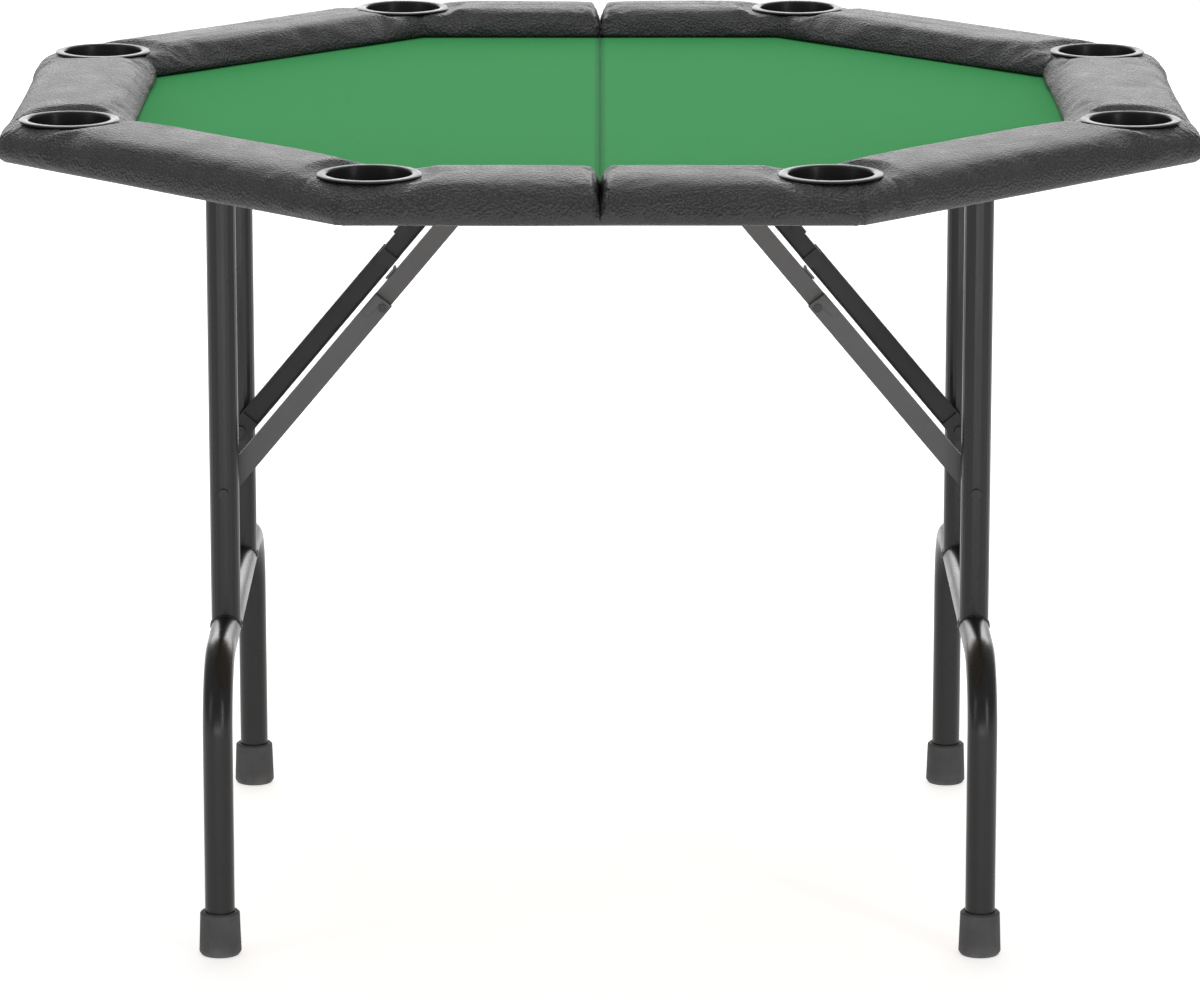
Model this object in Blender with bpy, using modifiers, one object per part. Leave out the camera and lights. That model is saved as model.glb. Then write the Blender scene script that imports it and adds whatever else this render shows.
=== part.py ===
"""Folding octagonal poker table, for eight players, on two folding leg units.

Frame: metres, +Z up, origin on the floor under the middle of the top.
The seam between the two halves of the top runs along Y, at X = 0.
Each leg unit folds inwards about an axis along Y, and two jointed braces hold it upright.
"""

import math

import bmesh
import bpy
from mathutils import Matrix, Vector

# ---- driving dimensions ----
ACROSS_FLATS = 1.08
TABLE_HEIGHT = 0.75
RAIL_WIDTH = 0.119
TUBE_RADIUS = 0.0135
LEG_X = 0.344
UPRIGHT_Y = 0.1386
FOOT_Y = 0.2905
GAP = 0.0003
CUT_PAST = 0.010

# ---- top ----
SIDES = 8
CORNER_ANGLE = math.pi / SIDES
RAIL_APOTHEM = ACROSS_FLATS / 2
FELT_EDGE = RAIL_APOTHEM - RAIL_WIDTH
BOARD_BOTTOM = 0.7155
BOARD_TOP = 0.7245
BOARD_APOTHEM = 0.530
BOARD_SEAM_GAP = 0.0004
FELT_THICKNESS = 0.002
RAIL_BOTTOM = 0.7145
RAIL_TOP = 0.7478
RAIL_SEAM_GAP = 0.0015
RAIL_CORNER_RADIUS = 0.025
RAIL_EDGE_ROUNDING = 0.009

# ---- cup holders ----
CUP_RING_RADIUS = 0.5140
CUP_FLANGE_RADIUS = 0.045
CUP_OPENING_RADIUS = 0.0365
CUP_WALL = 0.0015
CUP_FLOOR = 0.7168
CUP_FLOOR_ROUNDING = 0.003
CUP_MOUTH_ROUNDING = 0.0015
CUP_HOLE_CLEARANCE = 0.001
CUP_HOLE_RADIUS = CUP_OPENING_RADIUS + CUP_WALL + CUP_HOLE_CLEARANCE
CUP_STEPS = 24

# ---- hinges under the seam ----
HINGE_Y = 0.33
HINGE_AXIS_Z = 0.7105
HINGE_LENGTH = 0.060
HINGE_LEAF_WIDTH = 0.028
HINGE_LEAF_THICKNESS = 0.0016
KNUCKLE_RADIUS = 0.0040
KNUCKLE_CLEARANCE = 0.0008
HINGE_WEB_INNER = 0.0006
HINGE_WEB_REACH = 0.002
HINGE_PIN_RADIUS = 0.0020
HINGE_PIN_PAST = 0.0015

# ---- leg units ----
PIVOT_Z = 0.6975
CROSSBAR_Z = 0.267
BEND_RADIUS = 0.065
SPLAY = math.radians(1.0)
FOOT_HEIGHT = 0.040
FOOT_TOP_RADIUS = 0.018
FOOT_BASE_RADIUS = 0.0192
FOOT_SOCKET_FLOOR = 0.010
FOOT_TOP_CHAMFER = 0.0015
FOOT_BASE_HEIGHT = 0.003
FOOT_BASE_CHAMFER = 0.002
PIVOT_TUBE_END = UPRIGHT_Y + TUBE_RADIUS
LEG_BRACKET_Y = 0.088
LEG_BRACKET_WIDTH = 0.022
LEG_BRACKET_WALL = 0.0022
LEG_BRACKET_REACH = 0.034
FRAME_BEND_STEPS = 8

# ---- braces ----
BRACE_FOOT_Z = 0.395
BRACE_SLOPE = 0.838
LOWER_LINK_WIDTH = 0.0192
UPPER_LINK_WIDTH = 0.0176
BRACE_WALL = 0.0012
LOWER_LAYER = (0.1186, 0.1238)
UPPER_LAYER = (0.1132, 0.1183)
EAR_LAYER = (0.1106, 0.1129)
KNEE_TONGUE = 0.010
KNEE_LIP = 0.0066
KNEE_RIVET_OFFSET = 0.0040
RIVET_HEAD_RADIUS = 0.0040
RIVET_HEAD_HEIGHT = 0.0009
PIN_RADIUS = 0.003
PIN_PAST = 0.0005
PIN_HEAD_HEIGHT = 0.0010
BOLT_HEAD_RADIUS = 0.0048
BOLT_HEAD_HEIGHT = 0.0028
BOLT_NUT_HEIGHT = 0.0030
EAR_RADIUS = 0.0095
BRACKET_REACH = 0.024
BRACKET_DEPTH = 0.020
CHANNEL_SOLID_END = 0.8
LAYER_PAST = 0.002
RELEASE_LENGTH = 0.013
RELEASE_DISTANCE = 0.022
RELEASE_PLATE = 0.0016
RELEASE_CHEEK_DEPTH = 0.5
RELEASE_PLATE_SETBACK = 0.2

BRACE_RISE = PIVOT_Z - BRACE_FOOT_Z
BRACE_RUN = BRACE_SLOPE * BRACE_RISE
BRACE_SPAN = math.hypot(BRACE_RISE, BRACE_RUN)
LOWER_LINK = (BRACE_SPAN + BRACE_RISE - BRACE_RUN) / 2
UPPER_LINK = BRACE_SPAN - LOWER_LINK
BRACE_TOP_X = LEG_X - BRACE_RUN

SIDE_NAMES = {-1: "left", 1: "right"}
END_NAMES = {-1: "front", 1: "rear"}


# ---- scene and materials ----
def clear_scene():
    for obj in list(bpy.data.objects):
        bpy.data.objects.remove(obj, do_unlink=True)


def collection(name):
    made = bpy.data.collections.new(name)
    bpy.context.scene.collection.children.link(made)
    return made


def material(name, colour, roughness, metallic=0.0):
    made = bpy.data.materials.new(name)
    made.use_nodes = True
    shader = made.node_tree.nodes["Principled BSDF"]
    shader.inputs["Base Color"].default_value = (*colour, 1.0)
    shader.inputs["Roughness"].default_value = roughness
    shader.inputs["Metallic"].default_value = metallic
    return made


clear_scene()
TABLE = collection("poker_table")
CUTTERS = collection("cutters")
FELT = material("green_felt", (0.073, 0.352, 0.117), 0.95)
LEATHERETTE = material("black_leatherette", (0.035, 0.035, 0.037), 0.45)
MDF = material("board", (0.45, 0.33, 0.21), 0.80)
METAL = material("powder_coated_steel", (0.045, 0.045, 0.048), 0.38, 0.6)
ZINC = material("zinc_plated_steel", (0.55, 0.55, 0.56), 0.32, 1.0)
CUP = material("cup_plastic", (0.030, 0.030, 0.032), 0.30)
RUBBER = material("grey_rubber", (0.065, 0.065, 0.068), 0.75)


# ---- mesh helpers ----
def add_object(name, mesh, finish=None):
    """Put a mesh in the table's collection, or among the cutters when it has no material."""
    obj = bpy.data.objects.new(name, mesh)
    if finish is None:
        CUTTERS.objects.link(obj)
        obj.hide_render = True
        obj.display_type = "WIRE"
    else:
        TABLE.objects.link(obj)
        mesh.materials.append(finish)
    return obj


def from_bmesh(name, bm, finish=None):
    mesh = bpy.data.meshes.new(name)
    bmesh.ops.recalc_face_normals(bm, faces=bm.faces)
    bm.to_mesh(mesh)
    bm.free()
    return add_object(name, mesh, finish)


def set_origin(obj, point):
    """Move an object's origin to a point, such as one on its joint's axis, and leave its shape in place."""
    point = Vector(point)
    obj.data.transform(Matrix.Translation(-point))
    obj.location = point
    return obj


def pivot(name, point):
    """An empty on a joint's axis, for the pieces that turn about it."""
    empty = bpy.data.objects.new(name, None)
    TABLE.objects.link(empty)
    empty.empty_display_size = 0.03
    empty.location = point
    return empty


def hang_on(obj, empty):
    """Make an object the child of an empty, and keep it where it is."""
    obj.parent = empty
    obj.matrix_parent_inverse = Matrix.Translation(-empty.location)


def smooth(obj, angle=35):
    obj.data.shade_smooth()
    obj.data.set_sharp_from_angle(angle=math.radians(angle))
    return obj


def boolean(obj, other, operation="DIFFERENCE"):
    change = obj.modifiers.new(f"{operation.lower()}_{other.name}", "BOOLEAN")
    change.operation = operation
    change.object = other


def box(name, low, high, finish=None):
    bm = bmesh.new()
    bmesh.ops.create_cube(bm, size=1.0)
    low, high = Vector(low), Vector(high)
    bmesh.ops.scale(bm, vec=high - low, verts=bm.verts)
    bmesh.ops.translate(bm, vec=(low + high) / 2, verts=bm.verts)
    return from_bmesh(name, bm, finish)


def cylinder(name, radius, start, end, finish=None, segments=20):
    """A cylinder between two points."""
    start, end = Vector(start), Vector(end)
    run = end - start
    bm = bmesh.new()
    turn = run.to_track_quat("Z", "Y").to_matrix().to_4x4()
    bmesh.ops.create_cone(
        bm,
        cap_ends=True,
        segments=segments,
        radius1=radius,
        radius2=radius,
        depth=run.length,
        matrix=Matrix.Translation((start + end) / 2) @ turn,
    )
    obj = from_bmesh(name, bm, finish)
    return smooth(obj)


def octagon(bm, apothem, low, high):
    """An eight-sided prism with flats across X and Y."""
    corner = apothem / math.cos(CORNER_ANGLE)
    bmesh.ops.create_cone(
        bm,
        cap_ends=True,
        segments=SIDES,
        radius1=corner,
        radius2=corner,
        depth=high - low,
        matrix=Matrix.Translation((0, 0, (low + high) / 2)) @ Matrix.Rotation(CORNER_ANGLE, 4, "Z"),
    )


def keep_half(bm, side, gap):
    """Cut a body at the seam, and close it there."""
    bmesh.ops.bisect_plane(
        bm,
        geom=bm.verts[:] + bm.edges[:] + bm.faces[:],
        plane_co=(side * gap, 0, 0),
        plane_no=(side, 0, 0),
        clear_inner=True,
    )
    bmesh.ops.holes_fill(bm, edges=[e for e in bm.edges if e.is_boundary], sides=0)


def is_upright(edge):
    run = edge.verts[0].co - edge.verts[1].co
    return abs(run.z) > 0.9 * run.length


def turned(name, profile, place, finish, steps):
    """A solid of revolution about Z. The profile of (radius, height) runs down the outer side."""
    mesh = bpy.data.meshes.new(name)
    points = [(radius, 0, height) for radius, height in profile]
    mesh.from_pydata(points, [(i, i + 1) for i in range(len(points) - 1)], [])
    obj = add_object(name, mesh, finish)
    obj.location = place
    screw = obj.modifiers.new("turn", "SCREW")
    screw.steps = steps
    screw.render_steps = steps
    screw.use_merge_vertices = True
    screw.merge_threshold = 0.0001
    return obj


def bar(name, centre, direction, span, width, layer, finish=None, round_ends=()):
    """A flat strip along a direction in the XZ plane, between two Y planes.

    span is its start and end, measured from the centre. The ends named in round_ends (-1 for the
    start, 1 for the end) are half round.
    """
    bm = bmesh.new()
    bmesh.ops.create_cube(bm, size=1.0)
    length, depth = span[1] - span[0], layer[1] - layer[0]
    bmesh.ops.scale(bm, vec=(length, depth, width), verts=bm.verts)
    across_y = [e for e in bm.edges if abs(e.verts[0].co.y - e.verts[1].co.y) > depth / 2]
    ends = [e for e in across_y if math.copysign(1, e.verts[0].co.x) in round_ends]
    bmesh.ops.bevel(bm, geom=ends, offset=width / 2 - GAP, segments=6, profile=0.5, affect="EDGES")
    turn = Matrix.Rotation(-math.atan2(direction.z, direction.x), 4, "Y")
    middle = Vector((centre.x, sum(layer) / 2, centre.z)) + direction * sum(span) / 2
    bmesh.ops.transform(bm, matrix=Matrix.Translation(middle) @ turn, verts=bm.verts)
    return from_bmesh(name, bm, finish)


def signed(layer, end):
    """A pair of Y planes on the front (-1) or rear (+1) side, the lower first."""
    return tuple(sorted(end * y for y in layer))


# ---- the top ----
def cup_centres(side):
    """Centres of the four cup holders of one half, at the corners of the octagon."""
    for k in range(SIDES):
        angle = CORNER_ANGLE * (2 * k + 1)
        x, y = CUP_RING_RADIUS * math.cos(angle), CUP_RING_RADIUS * math.sin(angle)
        if x * side > 0:
            yield x, y


def cut_cup_holes(obj, side):
    for k, (x, y) in enumerate(cup_centres(side)):
        low, high = (x, y, BOARD_BOTTOM - CUT_PAST), (x, y, TABLE_HEIGHT + CUT_PAST)
        boolean(obj, cylinder(f"{obj.name}_cup_hole_{k}", CUP_HOLE_RADIUS, low, high, segments=28))


def board(side):
    bm = bmesh.new()
    octagon(bm, BOARD_APOTHEM, BOARD_BOTTOM, BOARD_TOP)
    keep_half(bm, side, BOARD_SEAM_GAP)
    obj = from_bmesh(f"{SIDE_NAMES[side]}_board", bm, MDF)
    cut_cup_holes(obj, side)
    return obj


def felt(side):
    bm = bmesh.new()
    octagon(bm, FELT_EDGE - GAP, BOARD_TOP + GAP, BOARD_TOP + GAP + FELT_THICKNESS)
    keep_half(bm, side, BOARD_SEAM_GAP)
    return from_bmesh(f"{SIDE_NAMES[side]}_felt", bm, FELT)


def rail(side):
    """The padded rail of one half: a pad on the board's rim, and a skirt over the board's edge."""
    name = f"{SIDE_NAMES[side]}_rail"
    bm = bmesh.new()
    octagon(bm, RAIL_APOTHEM, RAIL_BOTTOM, RAIL_TOP)
    setback = RAIL_CORNER_RADIUS * math.tan(CORNER_ANGLE)
    corners = [e for e in bm.edges if is_upright(e)]
    bmesh.ops.bevel(bm, geom=corners, offset=setback, segments=4, profile=0.5, affect="EDGES")
    rims = [e for e in bm.edges if not is_upright(e) and e.verts[0].co.z > RAIL_TOP - GAP]
    bmesh.ops.bevel(bm, geom=rims, offset=RAIL_EDGE_ROUNDING, segments=3, profile=0.5, affect="EDGES")
    keep_half(bm, side, RAIL_SEAM_GAP)
    obj = from_bmesh(name, bm, LEATHERETTE)
    inside = bmesh.new()
    octagon(inside, FELT_EDGE, RAIL_BOTTOM - CUT_PAST, RAIL_TOP + CUT_PAST)
    boolean(obj, from_bmesh(f"{name}_inside", inside))
    seat = bmesh.new()
    octagon(seat, BOARD_APOTHEM + GAP, RAIL_BOTTOM - CUT_PAST, BOARD_TOP + GAP)
    boolean(obj, from_bmesh(f"{name}_seat", seat))
    cut_cup_holes(obj, side)
    return smooth(obj)


def cup_holder(side, number, x, y):
    """A drop-in cup: a thin well with a flat flange that lies on the rail."""
    outer = CUP_OPENING_RADIUS + CUP_WALL
    flange_low = RAIL_TOP + GAP
    profile = [
        (0, CUP_FLOOR + CUP_WALL),
        (CUP_OPENING_RADIUS - CUP_FLOOR_ROUNDING, CUP_FLOOR + CUP_WALL),
        (CUP_OPENING_RADIUS, CUP_FLOOR + CUP_WALL + CUP_FLOOR_ROUNDING),
        (CUP_OPENING_RADIUS, TABLE_HEIGHT - CUP_MOUTH_ROUNDING / 2),
        (CUP_OPENING_RADIUS + CUP_MOUTH_ROUNDING, TABLE_HEIGHT),
        (CUP_FLANGE_RADIUS - CUP_MOUTH_ROUNDING, TABLE_HEIGHT - GAP),
        (CUP_FLANGE_RADIUS, flange_low),
        (outer, flange_low),
        (outer, CUP_FLOOR + CUP_FLOOR_ROUNDING),
        (outer - CUP_FLOOR_ROUNDING, CUP_FLOOR),
        (0, CUP_FLOOR),
    ]
    return smooth(turned(f"{SIDE_NAMES[side]}_cup_{number}", profile, (x, y, 0), CUP, CUP_STEPS))


# ---- hinges under the seam ----
def hinge_leaf(side, end, axis):
    """One leaf with its knuckles: the left leaf has the two outer ones, the right leaf the middle one."""
    name = f"{END_NAMES[end]}_hinge_leaf_{SIDE_NAMES[side]}"
    y = end * HINGE_Y
    top = BOARD_BOTTOM - GAP
    inner, outer = sorted((side * (KNUCKLE_RADIUS + KNUCKLE_CLEARANCE), side * HINGE_LEAF_WIDTH))
    half = HINGE_LENGTH / 2
    low = (inner, y - half, top - HINGE_LEAF_THICKNESS)
    obj = box(name, low, (outer, y + half, top), ZINC)
    third = HINGE_LENGTH / 3
    starts = (-1.5 * third, 0.5 * third) if side < 0 else (-0.5 * third,)
    bore = cylinder(
        f"{name}_bore",
        HINGE_PIN_RADIUS + GAP,
        (0, y - HINGE_LENGTH, HINGE_AXIS_Z),
        (0, y + HINGE_LENGTH, HINGE_AXIS_Z),
        segments=16,
    )
    for k, start in enumerate(starts):
        near, far = y + start + GAP, y + start + third - GAP
        knuckle = cylinder(
            f"{name}_knuckle_{k}",
            KNUCKLE_RADIUS,
            (0, near, HINGE_AXIS_Z),
            (0, far, HINGE_AXIS_Z),
            segments=16,
        )
        web_x = sorted((side * HINGE_WEB_INNER, side * (KNUCKLE_RADIUS + HINGE_WEB_REACH)))
        web_low = (web_x[0], near + GAP, top - HINGE_LEAF_THICKNESS + GAP)
        web = box(f"{name}_web_{k}", web_low, (web_x[1], far - GAP, top - GAP))
        boolean(obj, web, "UNION")
        boolean(obj, knuckle, "UNION")
    boolean(obj, bore)
    hang_on(obj, axis)
    return obj


def hinge_pin(end):
    """The pin of one hinge, in the left leaf."""
    y, reach = end * HINGE_Y, HINGE_LENGTH / 2 + HINGE_PIN_PAST
    start, finish = (0, y - reach, HINGE_AXIS_Z), (0, y + reach, HINGE_AXIS_Z)
    return cylinder(f"{END_NAMES[end]}_hinge_pin", HINGE_PIN_RADIUS, start, finish, ZINC, 12)


# ---- leg units ----
def leg_frame_points():
    """Half of the U-shaped leg frame's centre line, as (y, z) from the foot to the middle of the crossbar."""
    foot_top = FOOT_HEIGHT + 0.002
    points = [(FOOT_Y, FOOT_SOCKET_FLOOR + GAP), (FOOT_Y, foot_top)]
    setback = BEND_RADIUS * math.tan((math.pi / 2 - SPLAY) / 2)
    knee_y = FOOT_Y - (CROSSBAR_Z - foot_top) * math.tan(SPLAY)
    centre = (knee_y - setback, CROSSBAR_Z - BEND_RADIUS)
    for k in range(FRAME_BEND_STEPS + 1):
        angle = -SPLAY + (math.pi / 2 + SPLAY) * k / FRAME_BEND_STEPS
        points.append((centre[0] + BEND_RADIUS * math.cos(angle), centre[1] + BEND_RADIUS * math.sin(angle)))
    return points


def leg_frame(side, axis):
    """The U-shaped tube with the two lower legs and the crossbar, as one bent tube."""
    name = f"{SIDE_NAMES[side]}_leg_frame"
    half = leg_frame_points()
    route = [(-y, z) for y, z in half] + [(y, z) for y, z in reversed(half)]
    curve = bpy.data.curves.new(name, "CURVE")
    curve.dimensions = "3D"
    curve.bevel_depth = TUBE_RADIUS
    curve.bevel_resolution = 5
    curve.use_fill_caps = True
    spline = curve.splines.new("POLY")
    spline.points.add(len(route) - 1)
    for point, (y, z) in zip(spline.points, route):
        point.co = (side * LEG_X, y, z, 1)
    guide = bpy.data.objects.new(f"{name}_guide", curve)
    CUTTERS.objects.link(guide)
    depsgraph = bpy.context.evaluated_depsgraph_get()
    mesh = bpy.data.meshes.new_from_object(guide.evaluated_get(depsgraph))
    bpy.data.objects.remove(guide, do_unlink=True)
    bm = bmesh.new()
    bm.from_mesh(mesh)
    bmesh.ops.remove_doubles(bm, verts=bm.verts, dist=0.00001)
    bpy.data.meshes.remove(mesh)
    obj = smooth(from_bmesh(name, bm, METAL))
    hang_on(obj, axis)
    return obj


def pivot_tube(side, axis):
    """The tube across the top of a leg unit, which turns in two brackets under the board."""
    start = (side * LEG_X, -PIVOT_TUBE_END, PIVOT_Z)
    finish = (side * LEG_X, PIVOT_TUBE_END, PIVOT_Z)
    obj = cylinder(f"{SIDE_NAMES[side]}_pivot_tube", TUBE_RADIUS, start, finish, METAL, 24)
    hang_on(obj, axis)


def upright(side, end, axis):
    """A straight tube from the crossbar to the pivot tube, cut to a saddle at both ends."""
    name = f"{SIDE_NAMES[side]}_{END_NAMES[end]}_upright"
    x, y, reach = side * LEG_X, end * UPRIGHT_Y, TUBE_RADIUS + CUT_PAST
    obj = cylinder(name, TUBE_RADIUS, (x, y, CROSSBAR_Z), (x, y, PIVOT_Z), METAL, 24)
    for place, z in (("crossbar", CROSSBAR_Z), ("pivot_tube", PIVOT_Z)):
        start, finish = (x, y - reach, z), (x, y + reach, z)
        boolean(obj, cylinder(f"{name}_{place}_saddle", TUBE_RADIUS + GAP, start, finish, segments=24))
    start, finish = (x, y - reach, BRACE_FOOT_Z), (x, y + reach, BRACE_FOOT_Z)
    boolean(obj, cylinder(f"{name}_bolt_hole", PIN_RADIUS + GAP, start, finish, segments=16))
    hang_on(obj, axis)


def foot(side, end, axis):
    """A rubber cap with a socket for the end of the leg, slightly wider at its base."""
    socket = TUBE_RADIUS + GAP
    profile = [
        (0, FOOT_SOCKET_FLOOR),
        (socket, FOOT_SOCKET_FLOOR),
        (socket, FOOT_HEIGHT),
        (FOOT_TOP_RADIUS - FOOT_TOP_CHAMFER, FOOT_HEIGHT),
        (FOOT_TOP_RADIUS, FOOT_HEIGHT - FOOT_TOP_CHAMFER),
        (FOOT_BASE_RADIUS, FOOT_BASE_HEIGHT),
        (FOOT_BASE_RADIUS - FOOT_BASE_CHAMFER, 0),
        (0, 0),
    ]
    name = f"{SIDE_NAMES[side]}_{END_NAMES[end]}_foot"
    obj = smooth(turned(name, profile, (side * LEG_X, end * FOOT_Y, 0), RUBBER, 28))
    hang_on(obj, axis)


def leg_bracket(side, end):
    """A saddle strap that holds the pivot tube under the board, with a flange each way."""
    name = f"{SIDE_NAMES[side]}_{END_NAMES[end]}_leg_bracket"
    x, y = side * LEG_X, end * LEG_BRACKET_Y
    half = LEG_BRACKET_WIDTH / 2
    top = BOARD_BOTTOM - GAP
    outer = TUBE_RADIUS + GAP + LEG_BRACKET_WALL
    low = (x - LEG_BRACKET_REACH, y - half, top - LEG_BRACKET_WALL)
    obj = box(name, low, (x + LEG_BRACKET_REACH, y + half, top), METAL)
    start, finish = (x, y - half, PIVOT_Z), (x, y + half, PIVOT_Z)
    boolean(obj, cylinder(f"{name}_strap", outer, start, finish, segments=28), "UNION")
    start, finish = (x, y - LEG_BRACKET_WIDTH, PIVOT_Z), (x, y + LEG_BRACKET_WIDTH, PIVOT_Z)
    boolean(obj, cylinder(f"{name}_bore", TUBE_RADIUS + GAP, start, finish, segments=28))


# ---- braces ----
def brace_geometry(side):
    """The brace's lower pivot, upper pivot, knee and upward direction, in the XZ plane."""
    foot_point = Vector((side * LEG_X, 0, BRACE_FOOT_Z))
    top_point = Vector((side * BRACE_TOP_X, 0, PIVOT_Z))
    direction = (top_point - foot_point).normalized()
    return foot_point, top_point, foot_point + direction * LOWER_LINK, direction


def across(point, layer):
    """The two points where a line along Y through a point meets two Y planes."""
    return (point.x, layer[0], point.z), (point.x, layer[1], point.z)


def link(name, end, pivot_point, direction, span, width, layer, round_ends):
    """One link of a brace: a shallow steel channel that opens towards the table's middle."""
    planes = signed(layer, end)
    obj = bar(name, pivot_point, direction, span, width, planes, METAL, round_ends)
    solid_end = width * CHANNEL_SOLID_END
    hollow = (solid_end, span[1] - solid_end)
    inside = signed((layer[0] - LAYER_PAST, layer[1] - BRACE_WALL), end)
    boolean(obj, bar(f"{name}_inside", pivot_point, direction, hollow, width - 2 * BRACE_WALL, inside))
    wide = (planes[0] - LAYER_PAST, planes[1] + LAYER_PAST)
    boolean(obj, cylinder(f"{name}_hole", PIN_RADIUS + GAP, *across(pivot_point, wide), segments=16))
    return set_origin(obj, (pivot_point.x, planes[0], pivot_point.z))


def lower_link(side, end, axis):
    """The brace's lower channel, from the upright to just past the knee."""
    foot_point, _, _, direction = brace_geometry(side)
    name = f"{SIDE_NAMES[side]}_{END_NAMES[end]}_lower_link"
    span = (-LOWER_LINK_WIDTH / 2, LOWER_LINK + KNEE_LIP)
    obj = link(name, end, foot_point, direction, span, LOWER_LINK_WIDTH, LOWER_LAYER, (-1,))
    layer = signed((LOWER_LAYER[0] - LAYER_PAST, LOWER_LAYER[1] + LAYER_PAST), end)
    boolean(obj, cylinder(f"{name}_rivet_hole", PIN_RADIUS, *across(rivet_point(side), layer), segments=16))
    hang_on(obj, axis)


def upper_link(side, end, axis):
    """The brace's upper channel, narrower, from its bracket to a round tongue behind the lower one."""
    _, top_point, _, direction = brace_geometry(side)
    name = f"{SIDE_NAMES[side]}_{END_NAMES[end]}_upper_link"
    span = (-UPPER_LINK_WIDTH / 2, UPPER_LINK + KNEE_TONGUE)
    hang_on(link(name, end, top_point, -direction, span, UPPER_LINK_WIDTH, UPPER_LAYER, (-1, 1)), axis)


def rivet_point(side):
    """The knee rivet, towards the brace's lower edge so that the channels stop against each other."""
    _, _, knee, direction = brace_geometry(side)
    below = Vector((-side * direction.z, 0, side * direction.x))
    return knee + below * KNEE_RIVET_OFFSET


def knee_rivet(side, end, axis):
    """The rivet in the lower link. It stops short of the upper link, which is free at the knee."""
    point = rivet_point(side)
    outer = LOWER_LAYER[1] + GAP
    shank = signed((LOWER_LAYER[0] + GAP, outer + RIVET_HEAD_HEIGHT / 2), end)
    head = signed((outer, outer + RIVET_HEAD_HEIGHT), end)
    name = f"{SIDE_NAMES[side]}_{END_NAMES[end]}_knee_rivet"
    obj = cylinder(name, PIN_RADIUS - GAP, *across(point, shank), ZINC, 12)
    boolean(obj, cylinder(f"{name}_head", RIVET_HEAD_RADIUS, *across(point, head), segments=16), "UNION")
    hang_on(obj, axis)


def brace_bolt(side, end, axis):
    """The bolt through the upright that the lower link turns on, with a head at each end."""
    foot_point, _, _, _ = brace_geometry(side)
    outer = UPRIGHT_Y + TUBE_RADIUS + GAP
    inner = LOWER_LAYER[0] - GAP
    name = f"{SIDE_NAMES[side]}_{END_NAMES[end]}_brace_bolt"
    shank = signed((inner - BOLT_NUT_HEIGHT / 2, outer + BOLT_HEAD_HEIGHT / 2), end)
    obj = cylinder(name, PIN_RADIUS, *across(foot_point, shank), ZINC, 16)
    caps = {"head": (outer, outer + BOLT_HEAD_HEIGHT), "nut": (inner - BOLT_NUT_HEIGHT, inner)}
    for place, layer in caps.items():
        ends = across(foot_point, signed(layer, end))
        boolean(obj, cylinder(f"{name}_{place}", BOLT_HEAD_RADIUS, *ends, segments=20), "UNION")
    hang_on(obj, axis)


def brace_bracket(side, end):
    """An angle under the board: a flange, a round ear beside the upper link, and its pin."""
    _, point, _, _ = brace_geometry(side)
    name = f"{SIDE_NAMES[side]}_{END_NAMES[end]}_brace_bracket"
    top = BOARD_BOTTOM - GAP
    wall = EAR_LAYER[1] - EAR_LAYER[0]
    flange = signed((EAR_LAYER[0] - BRACKET_DEPTH, EAR_LAYER[1]), end)
    low = (point.x - BRACKET_REACH, flange[0], top - wall)
    obj = box(name, low, (point.x + BRACKET_REACH, flange[1], top), METAL)
    ear = signed(EAR_LAYER, end)
    web_low = (point.x - EAR_RADIUS, ear[0], PIVOT_Z)
    web = box(f"{name}_web", web_low, (point.x + EAR_RADIUS, ear[1], top - wall / 2))
    boolean(obj, web, "UNION")
    boolean(obj, cylinder(f"{name}_ear", EAR_RADIUS, *across(point, ear), segments=24), "UNION")
    outer = UPPER_LAYER[1] + GAP
    pin = signed((EAR_LAYER[0] + PIN_PAST, outer + PIN_PAST), end)
    boolean(obj, cylinder(f"{name}_pin", PIN_RADIUS, *across(point, pin), segments=16), "UNION")
    head = signed((outer, outer + PIN_HEAD_HEIGHT), end)
    boolean(obj, cylinder(f"{name}_pin_head", BOLT_HEAD_RADIUS, *across(point, head), segments=16), "UNION")


def release_place(side):
    """The release clip's hinge line on the upper edge of the upper link, and the way up from that edge."""
    _, _, knee, direction = brace_geometry(side)
    above = Vector((side * direction.z, 0, -side * direction.x))
    edge = knee + above * (UPPER_LINK_WIDTH / 2 + GAP + RELEASE_PLATE)
    return edge + direction * (RELEASE_DISTANCE + RELEASE_LENGTH), above


def brace_release(side, end, axis):
    """The sprung clip above the knee: a plate on the upper link's edge, a cheek and a rolled hinge end."""
    _, _, _, direction = brace_geometry(side)
    place, above = release_place(side)
    name = f"{SIDE_NAMES[side]}_{END_NAMES[end]}_brace_release"
    cheek = signed((UPPER_LAYER[0] - GAP - RELEASE_PLATE, UPPER_LAYER[0] - GAP), end)
    layer = signed((UPPER_LAYER[0] - GAP - RELEASE_PLATE, UPPER_LAYER[1]), end)
    obj = cylinder(name, RELEASE_PLATE, *across(place, layer), METAL, 12)
    span = (-RELEASE_LENGTH, 0)
    middle = place - above * RELEASE_PLATE * RELEASE_PLATE_SETBACK
    boolean(obj, bar(f"{name}_plate", middle, direction, span, RELEASE_PLATE, layer), "UNION")
    depth = UPPER_LINK_WIDTH * RELEASE_CHEEK_DEPTH
    lower = place - above * depth / 2
    shorter = (-RELEASE_LENGTH + GAP, -GAP)
    boolean(obj, bar(f"{name}_cheek", lower, direction, shorter, depth, cheek), "UNION")
    hang_on(obj, axis)


# ---- assembly ----
def top_half(side):
    board(side)
    felt(side)
    rail(side)
    for number, (x, y) in enumerate(cup_centres(side), start=1):
        cup_holder(side, number, x, y)


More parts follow.
